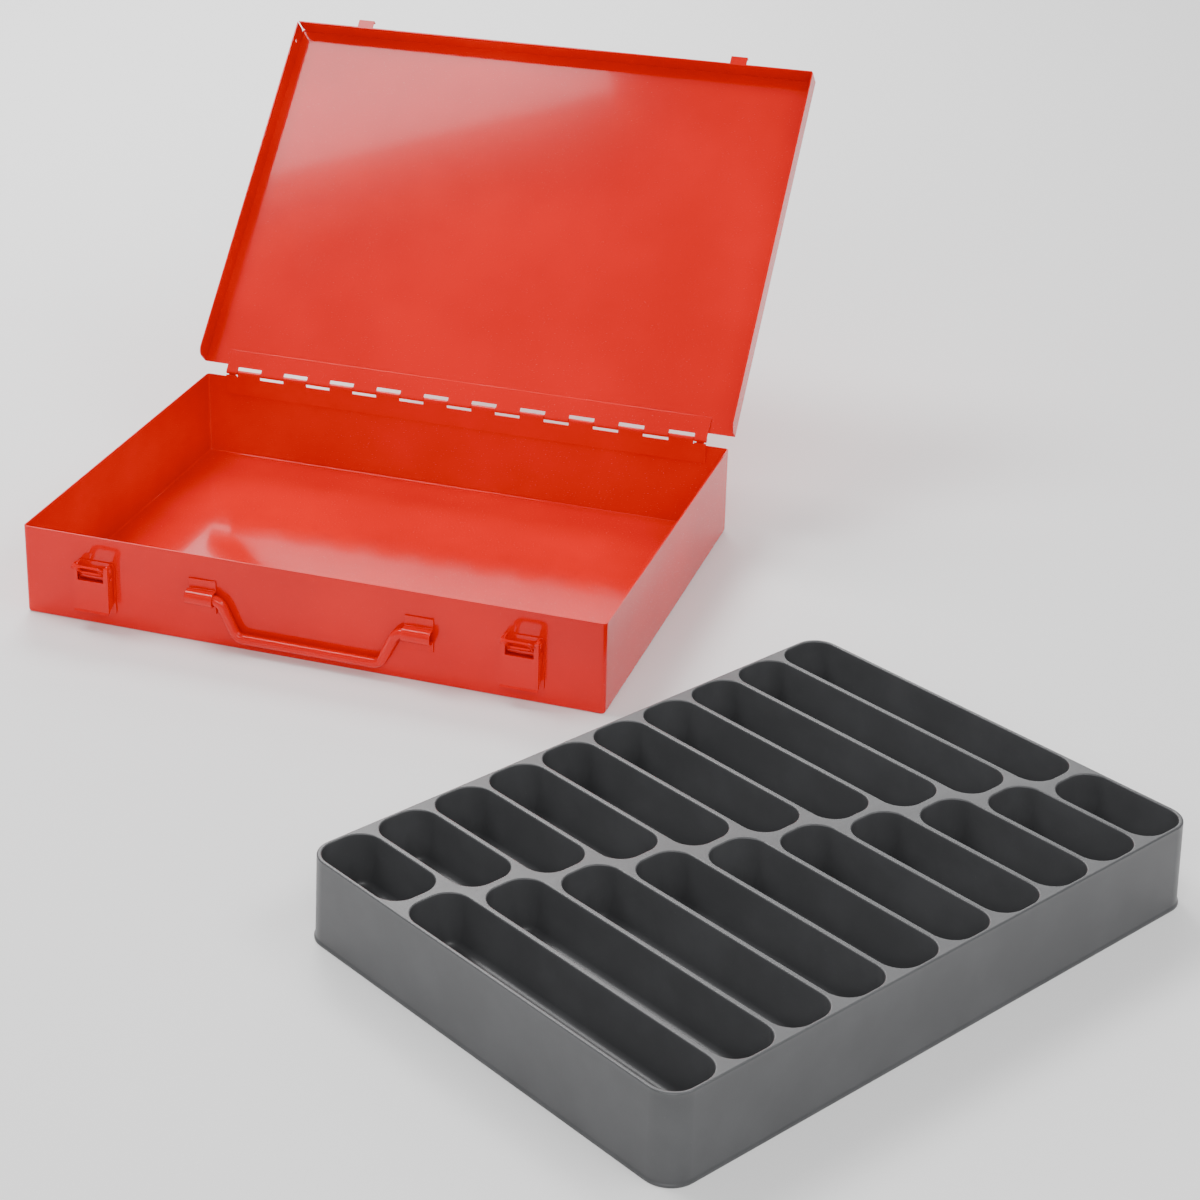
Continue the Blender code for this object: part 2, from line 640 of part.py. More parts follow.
def fillet_path(corners, radius, steps=5):
    """A path of straight runs with each inner corner turned into an arc."""
    path = [corners[0]]
    for before, corner, after in zip(corners, corners[1:], corners[2:]):
        to_before = (before - corner).normalized()
        to_after = (after - corner).normalized()
        half_angle = to_before.angle(to_after) / 2
        reach = radius / math.tan(half_angle)
        centre = corner + (to_before + to_after).normalized() * (radius / math.sin(half_angle))
        start = corner + to_before * reach - centre
        end = corner + to_after * reach - centre
        for i in range(steps + 1):
            path.append(centre + start.slerp(end, i / steps).normalized() * radius)
    path.append(corners[-1])
    return path


def make_handle(pivot):
    """The bail: one bent wire whose two ends turn in the brackets."""
    span, grip = HANDLE_SPAN / 2, GRIP_LENGTH / 2
    corners = [Vector((-span - HANDLE_STUB, 0, 0)), Vector((-span, 0, 0)), Vector((-grip, 0, -HANDLE_DROP)),
               Vector((grip, 0, -HANDLE_DROP)), Vector((span, 0, 0)), Vector((span + HANDLE_STUB, 0, 0))]
    curve = bpy.data.curves.new("handle_bail", "CURVE")
    curve.dimensions = "3D"
    curve.bevel_depth = HANDLE_WIRE / 2
    curve.bevel_resolution = 4
    curve.use_fill_caps = True
    path = fillet_path(corners, HANDLE_BEND)
    spline = curve.splines.new("POLY")
    spline.points.add(len(path) - 1)
    for point, place in zip(spline.points, path):
        point.co = (place.x, place.y, place.z, 1.0)
    curve.materials.append(make_material("handle_bail_finish", RED, 0.3))
    bail = bpy.data.objects.new("handle_bail", curve)
    bpy.context.scene.collection.objects.link(bail)
    bail.parent = pivot


def make_bracket(name, inner, outer):
    """A pressed saddle: two flats on the wall and a hump over the handle's wire."""
    back = out(FIT_GAP)
    front = out(FIT_GAP + BRACKET_SHEET)
    centre = (out(HANDLE_PIVOT_OUT), HANDLE_PIVOT_RISE)
    bore = HANDLE_WIRE / 2 + BRACKET_BORE_GAP
    crown = bore + BRACKET_SHEET
    low = HANDLE_PIVOT_RISE - BRACKET_HEIGHT / 2
    high = HANDLE_PIVOT_RISE + BRACKET_HEIGHT / 2
    outline = [(back, low), (front, low), (front, centre[1] - crown)]
    outline += arc(centre, crown, 270, -180, 8)
    outline += [(front, centre[1] + crown), (front, high), (back, high), (back, centre[1] + bore)]
    outline += arc(centre, bore, 90, 180, 8)
    outline.append((back, centre[1] - bore))
    bm = bmesh.new()
    prism(bm, outline, "X", min(inner, outer), max(inner, outer))
    add_object(name, bm, RED)


# ---------------------------------------------------------------- compartment tray

def pocket_plans(half_length, half_width):
    """(low, high) corners of each pocket at the deck: a back and a front pocket in each column."""
    width = (2 * (half_length - TRAY_RIM) - (TRAY_COLUMNS - 1) * RIDGE) / TRAY_COLUMNS
    run = 2 * (half_width - TRAY_RIM) - DIVIDER
    step = (run - 2 * SHORTEST_POCKET) / (TRAY_COLUMNS - 1)
    plans = []
    for column in range(TRAY_COLUMNS):
        left = -half_length + TRAY_RIM + column * (width + RIDGE)
        back_edge = half_width - TRAY_RIM
        split = back_edge - SHORTEST_POCKET - column * step
        plans.append(((left, split), (left + width, back_edge)))
        plans.append(((left, -half_width + TRAY_RIM), (left + width, split - DIVIDER)))
    return plans


def pocket_rings(low, high, grow, deck, floor):
    """Outlines of one pocket's wall, from its mouth to its floor, grown outwards by a wall thickness."""
    def outline(inset, radius):
        return rounded_box_outline((low[0] + inset, low[1] + inset), (high[0] - inset, high[1] - inset), radius, 4)
    mouth = outline(-grow, POCKET_CORNER + grow)
    foot = outline(POCKET_DRAFT - grow, POCKET_FLOOR_CORNER + grow)
    return [(mouth, deck), (foot, floor)]


def deck_faces(bm, outer, mouths, flip):
    """Fills the deck between its outer ring and the pockets' mouths."""
    loops = [[vertex.co.copy() for vertex in ring] for ring in [outer] + mouths]
    vertices = [vertex for ring in [outer] + mouths for vertex in ring]
    for triangle in geometry.tessellate_polygon(loops):
        corners = [vertices[i] for i in triangle]
        bm.faces.new(corners[::-1] if flip else corners)


def make_tray(pivot):
    """One thin moulding: a skirt, a deck with twenty pockets hanging from it, and an open underside."""
    foot_half = (CASE_LENGTH / 2 - SHEET - TRAY_CLEARANCE - TRAY_LIP, CASE_WIDTH / 2 - SHEET - TRAY_CLEARANCE - TRAY_LIP)
    deck_half = (foot_half[0] - TRAY_DRAFT, foot_half[1] - TRAY_DRAFT)
    bm = bmesh.new()

    def ring(outline, z):
        return [bm.verts.new((x, y, z)) for x, y in outline]

    def skirt(half, grow, z):
        return ring(centred_outline(half[0] + grow, half[1] + grow, TRAY_CORNER + grow, 6), z)

    lip = TRAY_LIP_HEIGHT
    upper = skirt(deck_half, 0.0, TRAY_HEIGHT)
    lower = skirt(deck_half, -TRAY_WALL, TRAY_HEIGHT - TRAY_WALL)
    join_rings(bm, [upper, skirt(foot_half, 0.0, lip * 1.4), skirt(foot_half, TRAY_LIP, lip),
                    skirt(foot_half, TRAY_LIP, 0.0), skirt(foot_half, -TRAY_WALL, 0.0), lower])
    mouths = {0.0: [], TRAY_WALL: []}
    floor = TRAY_HEIGHT - POCKET_DEPTH
    for low, high in pocket_plans(*deck_half):
        for grow, deck, bottom in ((0.0, TRAY_HEIGHT, floor), (TRAY_WALL, TRAY_HEIGHT - TRAY_WALL, floor - TRAY_WALL)):
            rings = [ring(outline, z) for outline, z in pocket_rings(low, high, grow, deck, bottom)]
            join_rings(bm, rings)
            bm.faces.new(rings[1])
            mouths[grow].append(rings[0])
    deck_faces(bm, upper, mouths[0.0], False)
    deck_faces(bm, lower, mouths[TRAY_WALL], True)
    add_object("compartment_tray", bm, ANTHRACITE, 0.45, parent=pivot)


# ---------------------------------------------------------------- whole object

def main():
    clear_scene()
    make_base_pan()
    lid_pivot = add_pivot("lid_pivot", (0.0, PIN_Y, PIN_Z), turn_x=-LID_OPEN)
    make_lid_pan(lid_pivot)
    make_hinge(lid_pivot)
    for label, side in (("left", -1), ("right", 1)):
        make_latch(label, side * LATCH_SPACING / 2)
    handle_pivot = add_pivot("handle_pivot", (HANDLE_SHIFT, out(HANDLE_PIVOT_OUT), HANDLE_PIVOT_RISE))
    make_handle(handle_pivot)
    for label, side in (("left", -1), ("right", 1)):
        inner = HANDLE_SHIFT + side * (HANDLE_SPAN / 2 + BRACKET_END_GAP)
        make_bracket("handle_bracket_" + label, inner, inner + side * BRACKET_WIDTH)
    make_tray(add_pivot("tray_place", (TRAY_PLACE[0], TRAY_PLACE[1], 0.0), turn_z=TRAY_TURN))
    bpy.context.view_layer.update()


main()
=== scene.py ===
"""Finished look of the sheet-steel case and its compartment tray, as a Blender add-on."""
import json
import math

import bmesh
import bpy
from bpy.props import FloatProperty, FloatVectorProperty, IntProperty, PointerProperty
from mathutils import Matrix, Vector, geometry


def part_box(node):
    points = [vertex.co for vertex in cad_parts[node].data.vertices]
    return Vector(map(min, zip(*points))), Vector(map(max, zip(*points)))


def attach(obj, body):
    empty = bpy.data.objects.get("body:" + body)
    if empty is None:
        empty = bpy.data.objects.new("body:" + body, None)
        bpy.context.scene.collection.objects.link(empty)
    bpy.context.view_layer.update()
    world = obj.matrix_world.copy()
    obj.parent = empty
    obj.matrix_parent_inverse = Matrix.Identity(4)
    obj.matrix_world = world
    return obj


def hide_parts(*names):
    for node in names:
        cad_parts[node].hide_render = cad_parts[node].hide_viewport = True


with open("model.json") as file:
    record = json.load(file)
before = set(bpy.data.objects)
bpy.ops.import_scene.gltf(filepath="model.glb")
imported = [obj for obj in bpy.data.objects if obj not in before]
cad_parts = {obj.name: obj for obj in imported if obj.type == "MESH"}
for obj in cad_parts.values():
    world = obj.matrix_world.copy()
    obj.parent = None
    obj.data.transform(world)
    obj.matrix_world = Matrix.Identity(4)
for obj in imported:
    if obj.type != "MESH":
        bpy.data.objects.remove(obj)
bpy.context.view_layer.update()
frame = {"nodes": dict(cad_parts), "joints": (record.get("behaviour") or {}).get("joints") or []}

bl_info = {
    "name": "Assortment case",
    "version": (1, 0, 0),
    "blender": (4, 5, 0),
    "location": "3D View > Sidebar > Case",
    "description": "Builds the finished case, its hinge, latches, handle and compartment tray",
    "category": "Object",
}

SIDES = ("left", "right")


def joint(name):
    """(point on the axis, joint) from the frame's joints."""
    found = next(j for j in frame["joints"] if j["name"] == name)
    return Vector(found.get("pos_m", (0, 0, 0))), found


CASE_HIGH = Vector(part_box("base_pan")[1])
HINGE_AT, HINGE_JOINT = joint("lid_hinge")
LID_OPEN_TURN = Matrix.Rotation(math.radians(HINGE_JOINT["range_deg"][0]), 4, "X")
UP_THE_WALL = Matrix(((1, 0, 0, 0), (0, 0, 1, 0), (0, 1, 0, 0), (0, 0, 0, 1)))

# Sizes of the pieces that no box in the frame gives, in metres.
FIT_GAP = 0.0003            # between pieces that touch
LEAF_NOTCH = 0.0016         # cut-out in the case's leaf past each of the lid's knuckles
LEAF_WINDOW = 0.0023        # cut-out in the lid's leaf past each of the case's knuckles
STOP_RISE = 0.0023          # top of a leaf's upstanding ends, below the pin
CURL_STEP = 0.00005         # a rolled knuckle is this much thinner on each side than its strap
CURL_SWEEP = 292            # degrees that a knuckle is rolled through
HEEL_DROP = 0.0029          # stop heel on an end knuckle, below the pin when the lid is open
HEEL_WIDTH = 0.0012
WALL_HEAD = 0.0011          # height of a rivet's dome on the latch plate
PIVOT_HEAD = 0.0009         # height of a rivet's dome on an ear
BRACKET_END_GAP = 0.0045    # between a bracket and the bail's bend beside it
BAIL_SPLAY = 0.0125         # an upper bend is this much further out than the lower bend
TRAY_CLEARANCE = 0.002      # to the walls of the case, at the tray's foot
TRAY_DRAFT = 0.001          # the foot is this much wider than the deck on each side
TRAY_CORNER = 0.0165
TRAY_RIM = 0.0026
TRAY_EDGE = 0.0010          # radius of the deck's outer edge
TRAY_LIP = 0.0008
RIDGE = 0.0036              # between one column of pockets and the next
DIVIDER = 0.006             # between the two pockets of a column
SHORTEST_POCKET = 0.0744
POCKET_DEPTH = 0.035
POCKET_CORNER = 0.0148
POCKET_TAPER = 0.0078       # a pocket's corners are this much tighter at its floor
POCKET_DRAFT = 0.0016
LEAST_CORNER = 0.0012
CORNER_STEPS = 12           # steps in each round corner of the tray

# Share of the lip that stands out, and the height, down the tray's foot.
LIP_PROFILE = ((0.0, 0.0030), (0.25, 0.0022), (0.85, 0.0017), (1.0, 0.0013), (1.0, 0.0002),
               (0.7, 0.0))

# Name, place, turn in degrees, size and power of each light.
LIGHTS = (
    ("overhead", (-1.176, -0.016, 2.0), (0, 0, 19.45), (1.2, 0.9), 40.0),
    ("rear", (-0.85, 1.50, 2.0), (0, 0, 3.0), (1.0, 0.88), 44.0),
    ("right", (1.9, -0.4, 2.0), (0, 0, 0), (1.2, 1.6), 30.0),
    ("front", (0.7, -2.6, 1.7), (42, 0, 12), (2.4, 1.0), 46.0),
    ("back", (-1.0, 3.2, 1.6), (-75, 0, 0), (3.0, 1.6), 48.0),
)
WORLD_STRENGTH = 0.36
CAMERA_PLACE = (0.681, -1.722, 0.902)
CAMERA_AZIMUTH, CAMERA_ELEVATION = 20.8, 22.1
CAMERA_LENS, CAMERA_SENSOR = 82.79, 36.0
CAMERA_SHIFT = (0.1491, -0.1814)


# ---------------------------------------------------------------- mesh helpers

def arc(centre, radius, start, sweep, steps):
    """Points along an arc, both ends included. Angles are degrees."""
    points = []
    for i in range(steps + 1):
        angle = math.radians(start + sweep * i / steps)
        points.append((centre[0] + radius * math.cos(angle),
                       centre[1] + radius * math.sin(angle)))
    return points


def round_outline(low, high, radius, steps=8):
    """The outline of a rectangle with round corners, counter-clockwise."""
    (x0, y0), (x1, y1) = low, high
    points = arc((x1 - radius, y1 - radius), radius, 0, 90, steps)
    points += arc((x0 + radius, y1 - radius), radius, 90, 90, steps)
    points += arc((x0 + radius, y0 + radius), radius, 180, 90, steps)
    points += arc((x1 - radius, y0 + radius), radius, 270, 90, steps)
    return points


def centred_outline(half_length, half_width, radius, steps=8):
    return round_outline((-half_length, -half_width), (half_length, half_width), radius, steps)


def new_ring(bm, outline, z):
    return [bm.verts.new((x, y, z)) for x, y in outline]


def join_rings(bm, rings):
    for lower, upper in zip(rings, rings[1:]):
        count = len(lower)
        for i in range(count):
            j = (i + 1) % count
            bm.faces.new((lower[i], lower[j], upper[j], upper[i]))


def on_axis(axis, a, b, level):
    return {"X": (level, a, b), "Y": (a, level, b), "Z": (a, b, level)}[axis]


def prism(bm, outline, axis, low, high):
    """A closed prism whose outline lies across the axis."""
    ends = []
    for level in (low, high):
        ends.append([bm.verts.new(on_axis(axis, a, b, level)) for a, b in outline])
    bm.faces.new(ends[0])
    bm.faces.new(ends[1])
    join_rings(bm, ends)


def block(bm, low, high):
    outline = [(low[0], low[1]), (high[0], low[1]), (high[0], high[1]), (low[0], high[1])]
    prism(bm, outline, "Z", low[2], high[2])


def new_object(name, data):
    thing = bpy.data.objects.new(name, data)
    bpy.context.scene.collection.objects.link(thing)
    return thing


def mesh_object(name, bm):
    bm.normal_update()
    bmesh.ops.recalc_face_normals(bm, faces=bm.faces)
    mesh = bpy.data.meshes.new(name)
    bm.to_mesh(mesh)
    bm.free()
    return new_object(name, mesh)


def bake(thing):
    """Turns a piece and its modifiers into plain mesh in the same place."""
    bpy.context.view_layer.update()
    graph = bpy.context.evaluated_depsgraph_get()
    mesh = bpy.data.meshes.new_from_object(thing.evaluated_get(graph),
                                           preserve_all_data_layers=True, depsgraph=graph)
    thing.modifiers.clear()
    thing.data = mesh


def join_pieces(name, pieces, matrix):
    """Joins pieces into one mesh and puts it in its place."""
    bm = bmesh.new()
    for piece in pieces:
        bm.from_mesh(piece.data)
        bpy.data.objects.remove(piece, do_unlink=True)
    bm.transform(matrix)
    return mesh_object(name, bm)


def soften(thing, width, segments=2, angle=30.0, smooth=32.0):
    """Breaks the hard edges of a piece as deburring and paint do."""
    modifier = thing.modifiers.new("edges", "BEVEL")
    modifier.width = width
    modifier.segments = segments
    modifier.limit_method = "ANGLE"
    modifier.angle_limit = math.radians(angle)
    modifier.use_clamp_overlap = True
    bake(thing)
    even_shading(thing, smooth)


def even_shading(thing, angle=32.0):
    thing.data.shade_smooth()
    thing.data.set_sharp_from_angle(angle=math.radians(angle))
    modifier = thing.modifiers.new("shading", "WEIGHTED_NORMAL")
    modifier.keep_sharp = True
    modifier.weight = 60
    bake(thing)


def finish_piece(thing, body, slot, material, *replaced):
    """Gives a piece its finish and its body, and hides the CAD nodes it stands for."""
    thing.data.materials.clear()
    thing.data.materials.append(material)
    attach(thing, body)
    if replaced:
        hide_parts(*replaced)


def need(thing):
    if not len(thing.data.polygons):
        raise RuntimeError(thing.name + " came out empty")


def from_cad(node, whole_faces=False):
    """A merged copy of a CAD node, with each flat side as one face if asked."""
    bm = bmesh.new()
    bm.from_mesh(frame["nodes"][node].data)
    bmesh.ops.remove_doubles(bm, verts=bm.verts, dist=0.00001)
    bmesh.ops.dissolve_degenerate(bm, edges=bm.edges, dist=0.000005)
    if whole_faces:
        bmesh.ops.dissolve_limit(bm, angle_limit=math.radians(0.6), verts=bm.verts,
                                 edges=bm.edges)
    mesh = bpy.data.meshes.new(node + "_finished")
    bm.to_mesh(mesh)
    bm.free()
    return new_object(node + "_finished", mesh)


# ---------------------------------------------------------------- shader maths

class Value:
    """One socket's value, so that the maths of a finish reads as an expression."""

    def __init__(self, finish, socket):
        self.finish = finish
        self.socket = socket

    def combine(self, operation, first, second):
        return self.finish.node("ShaderNodeMath", {"operation": operation}, {0: first, 1: second})

    def __add__(self, other):
        return self.combine("ADD", self, other)

    def __radd__(self, other):
        return self.combine("ADD", other, self)

    def __sub__(self, other):
        return self.combine("SUBTRACT", self, other)

    def __rsub__(self, other):
        return self.combine("SUBTRACT", other, self)

    def __mul__(self, other):
        return self.combine("MULTIPLY", self, other)

    def magnitude(self):
        return self.combine("ABSOLUTE", self, 0.0)

    def between(self, low, high):
        """0 below low, 1 above high, smooth in between."""
        return self.finish.node("ShaderNodeMapRange", {"interpolation_type": "SMOOTHSTEP"},
                                {"Value": self, "From Min": low, "From Max": high}, "Result")


class Finish:
    """A material under construction."""

    def __init__(self, name):
        self.material = bpy.data.materials.new(name)
        self.material.use_nodes = True
        self.tree = self.material.node_tree
        self.shader = self.tree.nodes["Principled BSDF"]

    def node(self, kind, settings=None, inputs=None, output=0):
        """Adds a node: its settings come first, then the values or links of its sockets."""
        made = self.tree.nodes.new(kind)
        for key, value in (settings or {}).items():
            setattr(made, key, value)
        for key, value in (inputs or {}).items():
            self.feed(made.inputs[key], value)
        return Value(self, made.outputs[output])

    def feed(self, socket, value):
        if isinstance(value, Value):
            self.tree.links.new(value.socket, socket)
        else:
            socket.default_value = value

    def here(self):
        """Object coordinates, in metres."""
        return self.node("ShaderNodeTexCoord", {}, {}, "Object")

    def axes(self):
        split = self.node("ShaderNodeSeparateXYZ", {}, {0: self.here()})
        outputs = split.socket.node.outputs
        return [Value(self, outputs[i]) for i in range(3)]

    def noise(self, scale, detail=2.0, roughness=0.5):
        inputs = {"Vector": self.here(), "Scale": scale, "Detail": detail, "Roughness": roughness}
        return self.node("ShaderNodeTexNoise", {}, inputs, "Fac")

    def mix(self, factor, first, second):
        inputs = {"Factor": factor, 6: first, 7: second}
        return self.node("ShaderNodeMix", {"data_type": "RGBA"}, inputs, 2)

    def bump(self, height, strength, distance, normal=None):
        inputs = {"Height": height, "Strength": strength, "Distance": distance}
        if normal is not None:
            inputs["Normal"] = normal
        return self.node("ShaderNodeBump", {}, inputs, "Normal")

    def set(self, **values):
        for key, value in values.items():
            self.feed(self.shader.inputs[key.replace("_", " ")], value)


def opaque(colour, share=1.0):
    """A colour made darker or lighter, with full alpha."""
    return tuple(min(1.0, c * share) for c in colour) + (1,)


def red_paint(name, colour, roughness, peel=1.0, seams=False):
    """Stoved gloss paint: orange peel, a slight drift in colour and gloss, a few dust specks."""
    finish = Finish(name)
    drift = finish.noise(9.0, 3.0)
    tint = finish.mix(drift.between(0.3, 0.75), opaque(colour, 0.86), opaque(colour))
    specks = finish.noise(1500.0, 0.0).between(0.79, 0.83)
    tint = finish.mix(specks * 0.25, tint, (0.75, 0.30, 0.26, 1))
    gloss = roughness + (finish.noise(60.0, 4.0) - 0.5) * 0.06 + specks * 0.25
    orange_peel = finish.noise(420.0, 2.0) * 0.7 + finish.noise(95.0, 1.0) * 0.5
    normal = finish.bump(orange_peel, 0.09 * peel, 0.0006)
    if seams:
        x, y, _ = finish.axes()
        end = CASE_HIGH.x
        near_end = x.magnitude().between(end - 0.0002, end - 0.00005)
        off = (y.magnitude() - (CASE_HIGH.y - 0.0013)).magnitude()
        seam = (1.0 - off.between(0.0, 0.00045)) * near_end
        normal = finish.bump(1.0 - seam, 0.55, 0.0004, normal)
        tint = finish.mix(seam * 0.55, tint, (0.25, 0.002, 0.002, 1))
        gloss = gloss + seam * 0.2
    finish.set(Base_Color=tint, Roughness=gloss, Normal=normal, Coat_Weight=0.18,
               Coat_Roughness=0.05, Specular_IOR_Level=0.20)
    return finish.material


def tray_plastic(name, colour):
    """Vacuum-formed sheet: a satin grain, soft flow marks, a slightly glossier top, and painted sheen
    that lightens the top's colour.
    """
    finish = Finish(name)
    _, _, z = finish.axes()
    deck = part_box("compartment_tray")[1].z
    # mask of the deck's top: it lowers the roughness and also carries the painted sheen below
    top = z.between(deck - 0.004, deck - 0.0005)
    flow = finish.noise(26.0, 4.0, 0.55)
    lighter = opaque(colour, 1.35)
    tint = finish.mix(flow.between(0.35, 0.75) * 0.6, opaque(colour), lighter)
    # painted sheen: the deck's top is mixed towards a lighter colour, standing in for light falling
    # from above
    tint = finish.mix(top * 0.35, tint, lighter)
    dust = finish.noise(1100.0, 1.0).between(0.74, 0.82)
    tint = finish.mix(dust * 0.22, tint, (0.30, 0.30, 0.30, 1))
    grain = finish.noise(1400.0, 3.0, 0.6)
    wave = finish.noise(34.0, 2.0)
    gloss = 0.40 + (flow - 0.5) * 0.10 - top * 0.05 + dust * 0.2
    normal = finish.bump(wave, 0.12, 0.0015)
    normal = finish.bump(grain, 0.16, 0.00022, normal)
    finish.set(Base_Color=tint, Roughness=gloss, Normal=normal, Specular_IOR_Level=0.5)
    return finish.material


def plain_floor(name, colour):
    finish = Finish(name)
    finish.set(Base_Color=opaque(colour), Roughness=0.75, Specular_IOR_Level=0.2)
    return finish.material


def material(name, maker, *values, **more):
    """A finish that is made once and shared."""
    found = bpy.data.materials.get(name)
    return found or maker(name, *values, **more)


# ---------------------------------------------------------------- geometry nodes

class NodeTree:
    """A Geometry Nodes tree under construction, from named inputs to one geometry."""

    def __init__(self, name, inputs):
        self.tree = bpy.data.node_groups.new(name, "GeometryNodeTree")
        self.tree.is_modifier = True
        interface = self.tree.interface
        interface.new_socket("Geometry", in_out="INPUT", socket_type="NodeSocketGeometry")
        interface.new_socket("Geometry", in_out="OUTPUT", socket_type="NodeSocketGeometry")
        self.identifiers = {}
        for label, kind, value in inputs:
            socket = interface.new_socket(label, in_out="INPUT", socket_type="NodeSocket" + kind)
            if value is not None:
                socket.default_value = value
            self.identifiers[label] = socket.identifier
        self.start = self.tree.nodes.new("NodeGroupInput")

    def given(self, label):
        return self.start.outputs[label]

    def add(self, kind, settings=None, inputs=None, output=0):
        made = self.tree.nodes.new(kind)
        for key, value in (settings or {}).items():
            setattr(made, key, value)
        for key, value in (inputs or {}).items():
            socket = made.inputs[key]
            if isinstance(value, bpy.types.NodeSocket):
                self.tree.links.new(value, socket)
            else:
                socket.default_value = value
        return made.outputs[output]

    def end(self, geometry_socket):
        real = self.add("GeometryNodeRealizeInstances", {}, {0: geometry_socket})
        painted = self.add("GeometryNodeSetMaterial", {},
                           {"Geometry": real, "Material": self.given("Finish")})
        out = self.tree.nodes.new("NodeGroupOutput")
        self.tree.links.new(painted, out.inputs[0])
        return self


def grow(thing, tree, values):
    """Runs a tree on a piece with these named inputs and keeps the result as plain mesh."""
    modifier = thing.modifiers.new(tree.tree.name, "NODES")
    modifier.node_group = tree.tree
    for label, value in values.items():
        modifier[tree.identifiers[label]] = value
    bake(thing)
    need(thing)


def row_tree():
    """Repeats a piece along a line."""
    tree = NodeTree("piece_row", [("Count", "Int", 2), ("Pitch", "Vector", (0.02, 0, 0)),
                                  ("Finish", "Material", None)])
    line = tree.add("GeometryNodeMeshLine", {"mode": "OFFSET"},
                    {"Count": tree.given("Count"), "Offset": tree.given("Pitch")})
    copies = tree.add("GeometryNodeInstanceOnPoints", {},
                      {"Points": line, "Instance": tree.given("Geometry")})
    return tree.end(copies)


def wire_tree():
    """A round wire of even thickness along a path whose corners are bent to a radius."""
    tree = NodeTree("bent_wire", [("Wire radius", "Float", 0.0037), ("Bend radius", "Float", 0.008),
                                  ("Bend steps", "Int", 14), ("Finish", "Material", None)])
    path = tree.add("GeometryNodeMeshToCurve", {}, {"Mesh": tree.given("Geometry")})
    bent = tree.add("GeometryNodeFilletCurve", {"mode": "POLY"},
                    {"Curve": path, "Count": tree.given("Bend steps"),
                     "Radius": tree.given("Bend radius"), "Limit Radius": True})
    section = tree.add("GeometryNodeCurvePrimitiveCircle", {},
                       {"Resolution": 40, "Radius": tree.given("Wire radius")})
    tube = tree.add("GeometryNodeCurveToMesh", {},
                    {"Curve": bent, "Profile Curve": section, "Fill Caps": True})
    return tree.end(tube)


def rivet_tree():
    """A domed head and a shank on each point, aimed along the point's own aim."""
    tree = NodeTree("rivets", [("Head radius", "Float", 0.003), ("Head height", "Float", 0.001),
                               ("Shank radius", "Float", 0.0015), ("Shank length", "Float", 0.003),
                               ("Finish", "Material", None)])
    ball = tree.add("GeometryNodeMeshUVSphere", {}, {"Segments": 40, "Rings": 20, "Radius": 1.0})
    shape = tree.add("ShaderNodeCombineXYZ", {},
                     {0: tree.given("Head radius"), 1: tree.given("Head radius"),
                      2: tree.given("Head height")})
    dome = tree.add("GeometryNodeTransform", {}, {"Geometry": ball, "Scale": shape})
    shank = tree.add("GeometryNodeMeshCylinder", {},
                     {"Vertices": 32, "Radius": tree.given("Shank radius"),
                      "Depth": tree.given("Shank length")})
    drop = tree.add("ShaderNodeMath", {"operation": "MULTIPLY"},
                    {0: tree.given("Shank length"), 1: -0.5})
    sunk = tree.add("ShaderNodeCombineXYZ", {}, {2: drop})
    shank = tree.add("GeometryNodeTransform", {}, {"Geometry": shank, "Translation": sunk})
    both = tree.add("GeometryNodeJoinGeometry", {}, {0: dome})
    tree.tree.links.new(shank, both.node.inputs[0])
    aim = tree.add("GeometryNodeInputNamedAttribute", {"data_type": "FLOAT_VECTOR"},
                   {"Name": "aim"})
    turn = tree.add("FunctionNodeAlignRotationToVector", {"axis": "Z"}, {"Vector": aim})
    heads = tree.add("GeometryNodeInstanceOnPoints", {},
                     {"Points": tree.given("Geometry"), "Instance": both, "Rotation": turn})
    return tree.end(heads)


def aimed_points(name, points):
    """A mesh of loose points, each with the direction it faces."""
    mesh = bpy.data.meshes.new(name)
    mesh.from_pydata([tuple(point) for point, _ in points], [], [])
    attribute = mesh.attributes.new("aim", "FLOAT_VECTOR", "POINT")
    for item, (_, aim) in zip(attribute.data, points):
        item.vector = aim
    return new_object(name, mesh)


# ---------------------------------------------------------------- sizes a user would change

class PaintSettings(bpy.types.PropertyGroup):
    colour: FloatVectorProperty(name="Paint colour", description="Colour of the stoved paint",
                                subtype="COLOR", size=3, min=0, max=1,
                                default=(0.78, 0.0012, 0.0006))
    roughness: FloatProperty(name="Paint roughness", description="Lower is glossier",
                             default=0.13, min=0.02, max=1, subtype="FACTOR")


class CaseSettings(bpy.types.PropertyGroup):
    sheet: FloatProperty(name="Sheet", description="Thickness of the steel", default=0.001,
                         unit="LENGTH")
    bend: FloatProperty(name="Bend", description="Outer radius of the bottom bends", default=0.002,
                        unit="LENGTH")
    corner: FloatProperty(name="Corner", description="Radius of the upright corners", default=0.003,
                          unit="LENGTH")
    deburr: FloatProperty(name="Edge", description="How far sheet edges are broken", default=0.0002,
                          unit="LENGTH")


class HingeSettings(bpy.types.PropertyGroup):
    length: FloatProperty(name="Length", description="Length of the piano hinge", default=0.400,
                          unit="LENGTH")
    pitch: FloatProperty(name="Pitch", description="Length of one knuckle", default=0.020,
                         unit="LENGTH")
    radius: FloatProperty(name="Knuckle radius", description="Outside of a rolled knuckle",
                          default=0.0019, unit="LENGTH")
    leaf: FloatProperty(name="Leaf", description="Thickness of a leaf", default=0.0008,
                        unit="LENGTH")
    width: FloatProperty(name="Leaf width", description="From the pin to a leaf's far edge",
                         default=0.0185, unit="LENGTH")
    gap: FloatProperty(name="Gap", description="Between one knuckle and the next", default=0.0003,
                       unit="LENGTH")
    edge: FloatProperty(name="Leaf edge", description="Radius of a leaf's rounded edges",
                        default=0.00032, unit="LENGTH")


